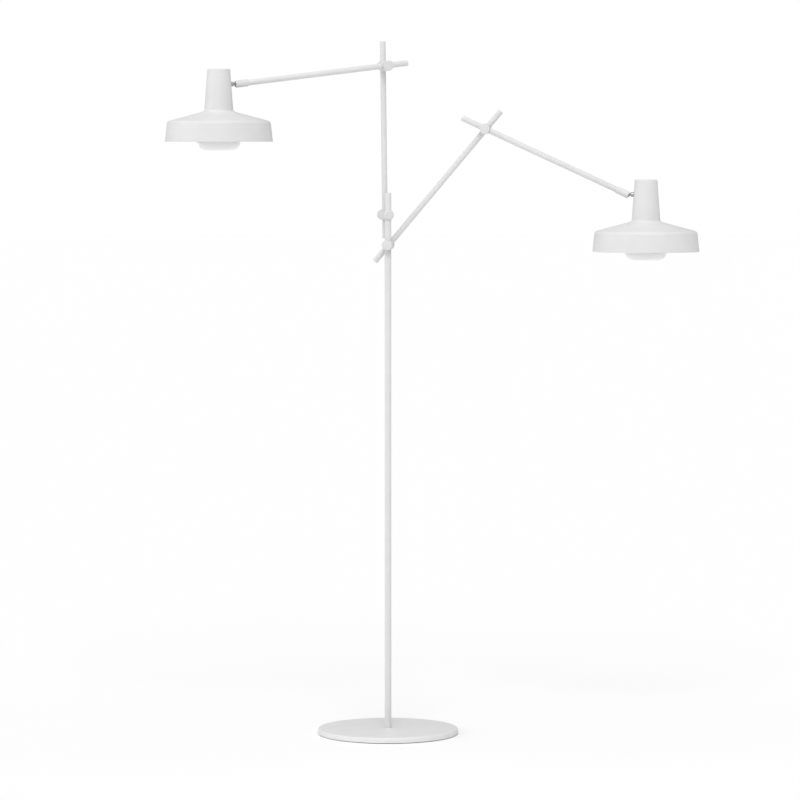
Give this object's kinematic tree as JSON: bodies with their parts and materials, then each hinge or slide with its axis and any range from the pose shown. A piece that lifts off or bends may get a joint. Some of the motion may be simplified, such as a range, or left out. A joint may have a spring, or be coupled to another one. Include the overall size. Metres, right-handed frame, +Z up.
{
  "type": "adjustable arm floor lamp",
  "caption": "White floor lamp: round base, slim pole and crossed rods in knob-tightened swivel clamps, with spun shades on ball joints over opal diffusers.",
  "frame": {"origin": "centre of the base's underside, on the floor", "axes": "+Z up along the pole, +X towards the right-hand lamp, -Y towards the front"},
  "size_m": [1.1238, 0.3985, 1.4802],
  "materials": {
    "white_steel": "matte",
    "white_aluminium": "matte",
    "white_plastic": "satin",
    "holder_plastic": "satin",
    "liner_plastic": "satin",
    "satin_steel": "satin",
    "plated_steel": "satin",
    "pin_brass": "satin",
    "opal_glass": "satin",
    "lamp_glass": "satin",
    "pad_rubber": "matte"
  },
  "bodies": {
    "stand": {"base_disc": "white_steel", "base_pad": "pad_rubber", "pole": "white_steel", "pole_cap": "white_plastic", "pole_foot": "plated_steel", "pole_screw": "plated_steel"},
    "left_height": {"left_pole_liner": "liner_plastic"},
    "left_collar": {"left_pole_clamp": "white_aluminium", "left_collar_rivet": "satin_steel", "left_collar_push_pin": "pin_brass"},
    "left_rod_holder": {"left_rod_clamp": "white_aluminium", "left_rod_liner": "liner_plastic"},
    "left_collar_knob": {"left_collar_knob": "white_aluminium"},
    "left_rod": {"left_lower_rod": "white_aluminium"},
    "left_elbow": {"left_elbow_rod_clamp": "white_aluminium", "left_elbow_rod_liner": "liner_plastic", "left_elbow_rivet": "satin_steel", "left_elbow_push_pin": "pin_brass"},
    "left_arm_holder": {"left_elbow_arm_clamp": "white_aluminium", "left_elbow_arm_liner": "liner_plastic"},
    "left_elbow_knob": {"left_elbow_knob": "white_aluminium"},
    "left_arm": {"left_head_arm": "white_aluminium", "left_cable_bushing": "white_plastic", "left_ball_sleeve": "white_aluminium"},
    "left_cup": {"left_ball_cup": "liner_plastic"},
    "left_stud": {"left_ball_stud": "satin_steel", "left_stud_nut": "satin_steel"},
    "left_head": {"left_shade": "white_aluminium", "left_diffuser": "opal_glass", "left_diffuser_ring": "white_aluminium", "left_lamp_holder": "holder_plastic", "left_lamp": "lamp_glass", "left_holder_bracket": "plated_steel"},
    "right_height": {"right_pole_liner": "liner_plastic"},
    "right_collar": {"right_pole_clamp": "white_aluminium"},
    "right_rod_holder": {"right_rod_clamp": "white_aluminium", "right_rod_liner": "liner_plastic", "right_collar_rivet": "satin_steel", "right_collar_push_pin": "pin_brass"},
    "right_collar_knob": {"right_collar_knob": "white_aluminium"},
    "right_rod": {"right_lower_rod": "white_aluminium"},
    "right_elbow": {"right_elbow_rod_clamp": "white_aluminium", "right_elbow_rod_liner": "liner_plastic", "right_elbow_rivet": "satin_steel", "right_elbow_push_pin": "pin_brass"},
    "right_arm_holder": {"right_elbow_arm_clamp": "white_aluminium", "right_elbow_arm_liner": "liner_plastic"},
    "right_elbow_knob": {"right_elbow_knob": "white_aluminium"},
    "right_arm": {"right_head_arm": "white_aluminium", "right_cable_bushing": "white_plastic", "right_ball_sleeve": "white_aluminium"},
    "right_cup": {"right_ball_cup": "liner_plastic"},
    "right_stud": {"right_ball_stud": "satin_steel", "right_stud_nut": "satin_steel"},
    "right_head": {"right_shade": "white_aluminium", "right_diffuser": "opal_glass", "right_diffuser_ring": "white_aluminium", "right_lamp_holder": "holder_plastic", "right_lamp": "lamp_glass", "right_holder_bracket": "plated_steel"}
  },
  "joints": [
    {"name": "left_height", "type": "slide", "parent": "stand", "child": "left_height", "axis": [0, 0, 1], "range_m": [-0.002, 0.03]},
    {"name": "left_turn", "type": "hinge", "parent": "left_height", "child": "left_collar", "pos_m": [0, 0, 1.1117], "axis": [0, 0, 1], "range_deg": [-15, 110]},
    {"name": "left_lift", "type": "hinge", "parent": "left_collar", "child": "left_rod_holder", "pos_m": [-0.00353, 0.00909, 1.1117], "axis": [-0.3616, 0.9323, 0], "range_deg": [-5, 35]},
    {"name": "left_rod_slide", "type": "slide", "parent": "left_rod_holder", "child": "left_rod", "axis": [-0.0122, -0.0047, 0.9999], "range_m": [-0.002, 0.034]},
    {"name": "left_elbow_turn", "type": "hinge", "parent": "left_rod", "child": "left_elbow", "pos_m": [-0.01046, 0.01552, 1.42817], "axis": [-0.0122, -0.0047, 0.9999], "range_deg": [-90, 90]},
    {"name": "left_elbow_bend", "type": "hinge", "parent": "left_elbow", "child": "left_arm_holder", "pos_m": [-0.00739, 0.00759, 1.42817], "axis": [-0.3616, 0.9323, 0], "range_deg": [-50, 80]},
    {"name": "left_arm_slide", "type": "slide", "parent": "left_arm_holder", "child": "left_arm", "axis": [-0.9255, -0.359, -0.1205], "range_m": [-0.2, 0.034]},
    {"name": "left_head_turn", "type": "hinge", "parent": "left_arm", "child": "left_cup", "pos_m": [-0.31576, -0.12113, 1.38763], "axis": [-0.9255, -0.359, -0.1205], "range_deg": [-60, 60]},
    {"name": "left_head_tilt", "type": "hinge", "parent": "left_cup", "child": "left_stud", "pos_m": [-0.31576, -0.12113, 1.38763], "axis": [-0.3616, 0.9323, 0], "range_deg": [-40, 26]},
    {"name": "left_head_roll", "type": "hinge", "parent": "left_stud", "child": "left_head", "pos_m": [-0.31576, -0.12113, 1.38763], "axis": [-0.9323, -0.3616, 0], "range_deg": [-90, 90]},
    {"name": "left_collar_knob_turn", "type": "hinge", "parent": "left_rod_holder", "child": "left_collar_knob", "pos_m": [-0.00353, 0.00909, 1.1117], "axis": [-0.3616, 0.9323, 0], "range_deg": [0, 180]},
    {"name": "left_elbow_knob_turn", "type": "hinge", "parent": "left_arm_holder", "child": "left_elbow_knob", "pos_m": [-0.00739, 0.00759, 1.42817], "axis": [0.3616, -0.9323, 0], "range_deg": [0, 180]},
    {"name": "right_height", "type": "slide", "parent": "stand", "child": "right_height", "axis": [0, 0, 1], "range_m": [-0.35, 0.002]},
    {"name": "right_turn", "type": "hinge", "parent": "right_height", "child": "right_collar", "pos_m": [0, 0, 1.0479], "axis": [0, 0, 1], "range_deg": [-110, 15]},
    {"name": "right_lift", "type": "hinge", "parent": "right_collar", "child": "right_rod_holder", "pos_m": [0.00119, 0.00968, 1.0479], "axis": [-0.1219, -0.9925, 0], "range_deg": [-70, 12]},
    {"name": "right_rod_slide", "type": "slide", "parent": "right_rod_holder", "child": "right_rod", "axis": [0.6393, -0.0785, 0.7649], "range_m": [-0.18, 0.032]},
    {"name": "right_elbow_turn", "type": "hinge", "parent": "right_rod", "child": "right_elbow", "pos_m": [0.20841, -0.0072, 1.29459], "axis": [0.6393, -0.0785, 0.7649], "range_deg": [-90, 90]},
    {"name": "right_elbow_bend", "type": "hinge", "parent": "right_elbow", "child": "right_arm_holder", "pos_m": [0.20737, -0.01564, 1.29459], "axis": [-0.1219, -0.9925, 0], "range_deg": [-60, 80]},
    {"name": "right_arm_slide", "type": "slide", "parent": "right_arm_holder", "child": "right_arm", "axis": [0.9017, -0.1107, -0.4179], "range_m": [-0.15, 0.036]},
    {"name": "right_head_turn", "type": "hinge", "parent": "right_arm", "child": "right_cup", "pos_m": [0.50526, -0.06078, 1.15606], "axis": [0.9017, -0.1107, -0.4179], "range_deg": [-60, 60]},
    {"name": "right_head_tilt", "type": "hinge", "parent": "right_cup", "child": "right_stud", "pos_m": [0.50526, -0.06078, 1.15606], "axis": [-0.1219, -0.9925, 0], "range_deg": [-58, 9]},
    {"name": "right_head_roll", "type": "hinge", "parent": "right_stud", "child": "right_head", "pos_m": [0.50526, -0.06078, 1.15606], "axis": [0.9925, -0.1219, 0], "range_deg": [-90, 90]},
    {"name": "right_collar_knob_turn", "type": "hinge", "parent": "right_collar", "child": "right_collar_knob", "pos_m": [0.00119, 0.00968, 1.0479], "axis": [-0.1219, -0.9925, 0], "range_deg": [0, 180]},
    {"name": "right_elbow_knob_turn", "type": "hinge", "parent": "right_arm_holder", "child": "right_elbow_knob", "pos_m": [0.20737, -0.01564, 1.29459], "axis": [-0.1219, -0.9925, 0], "range_deg": [0, 180]}
  ]
}
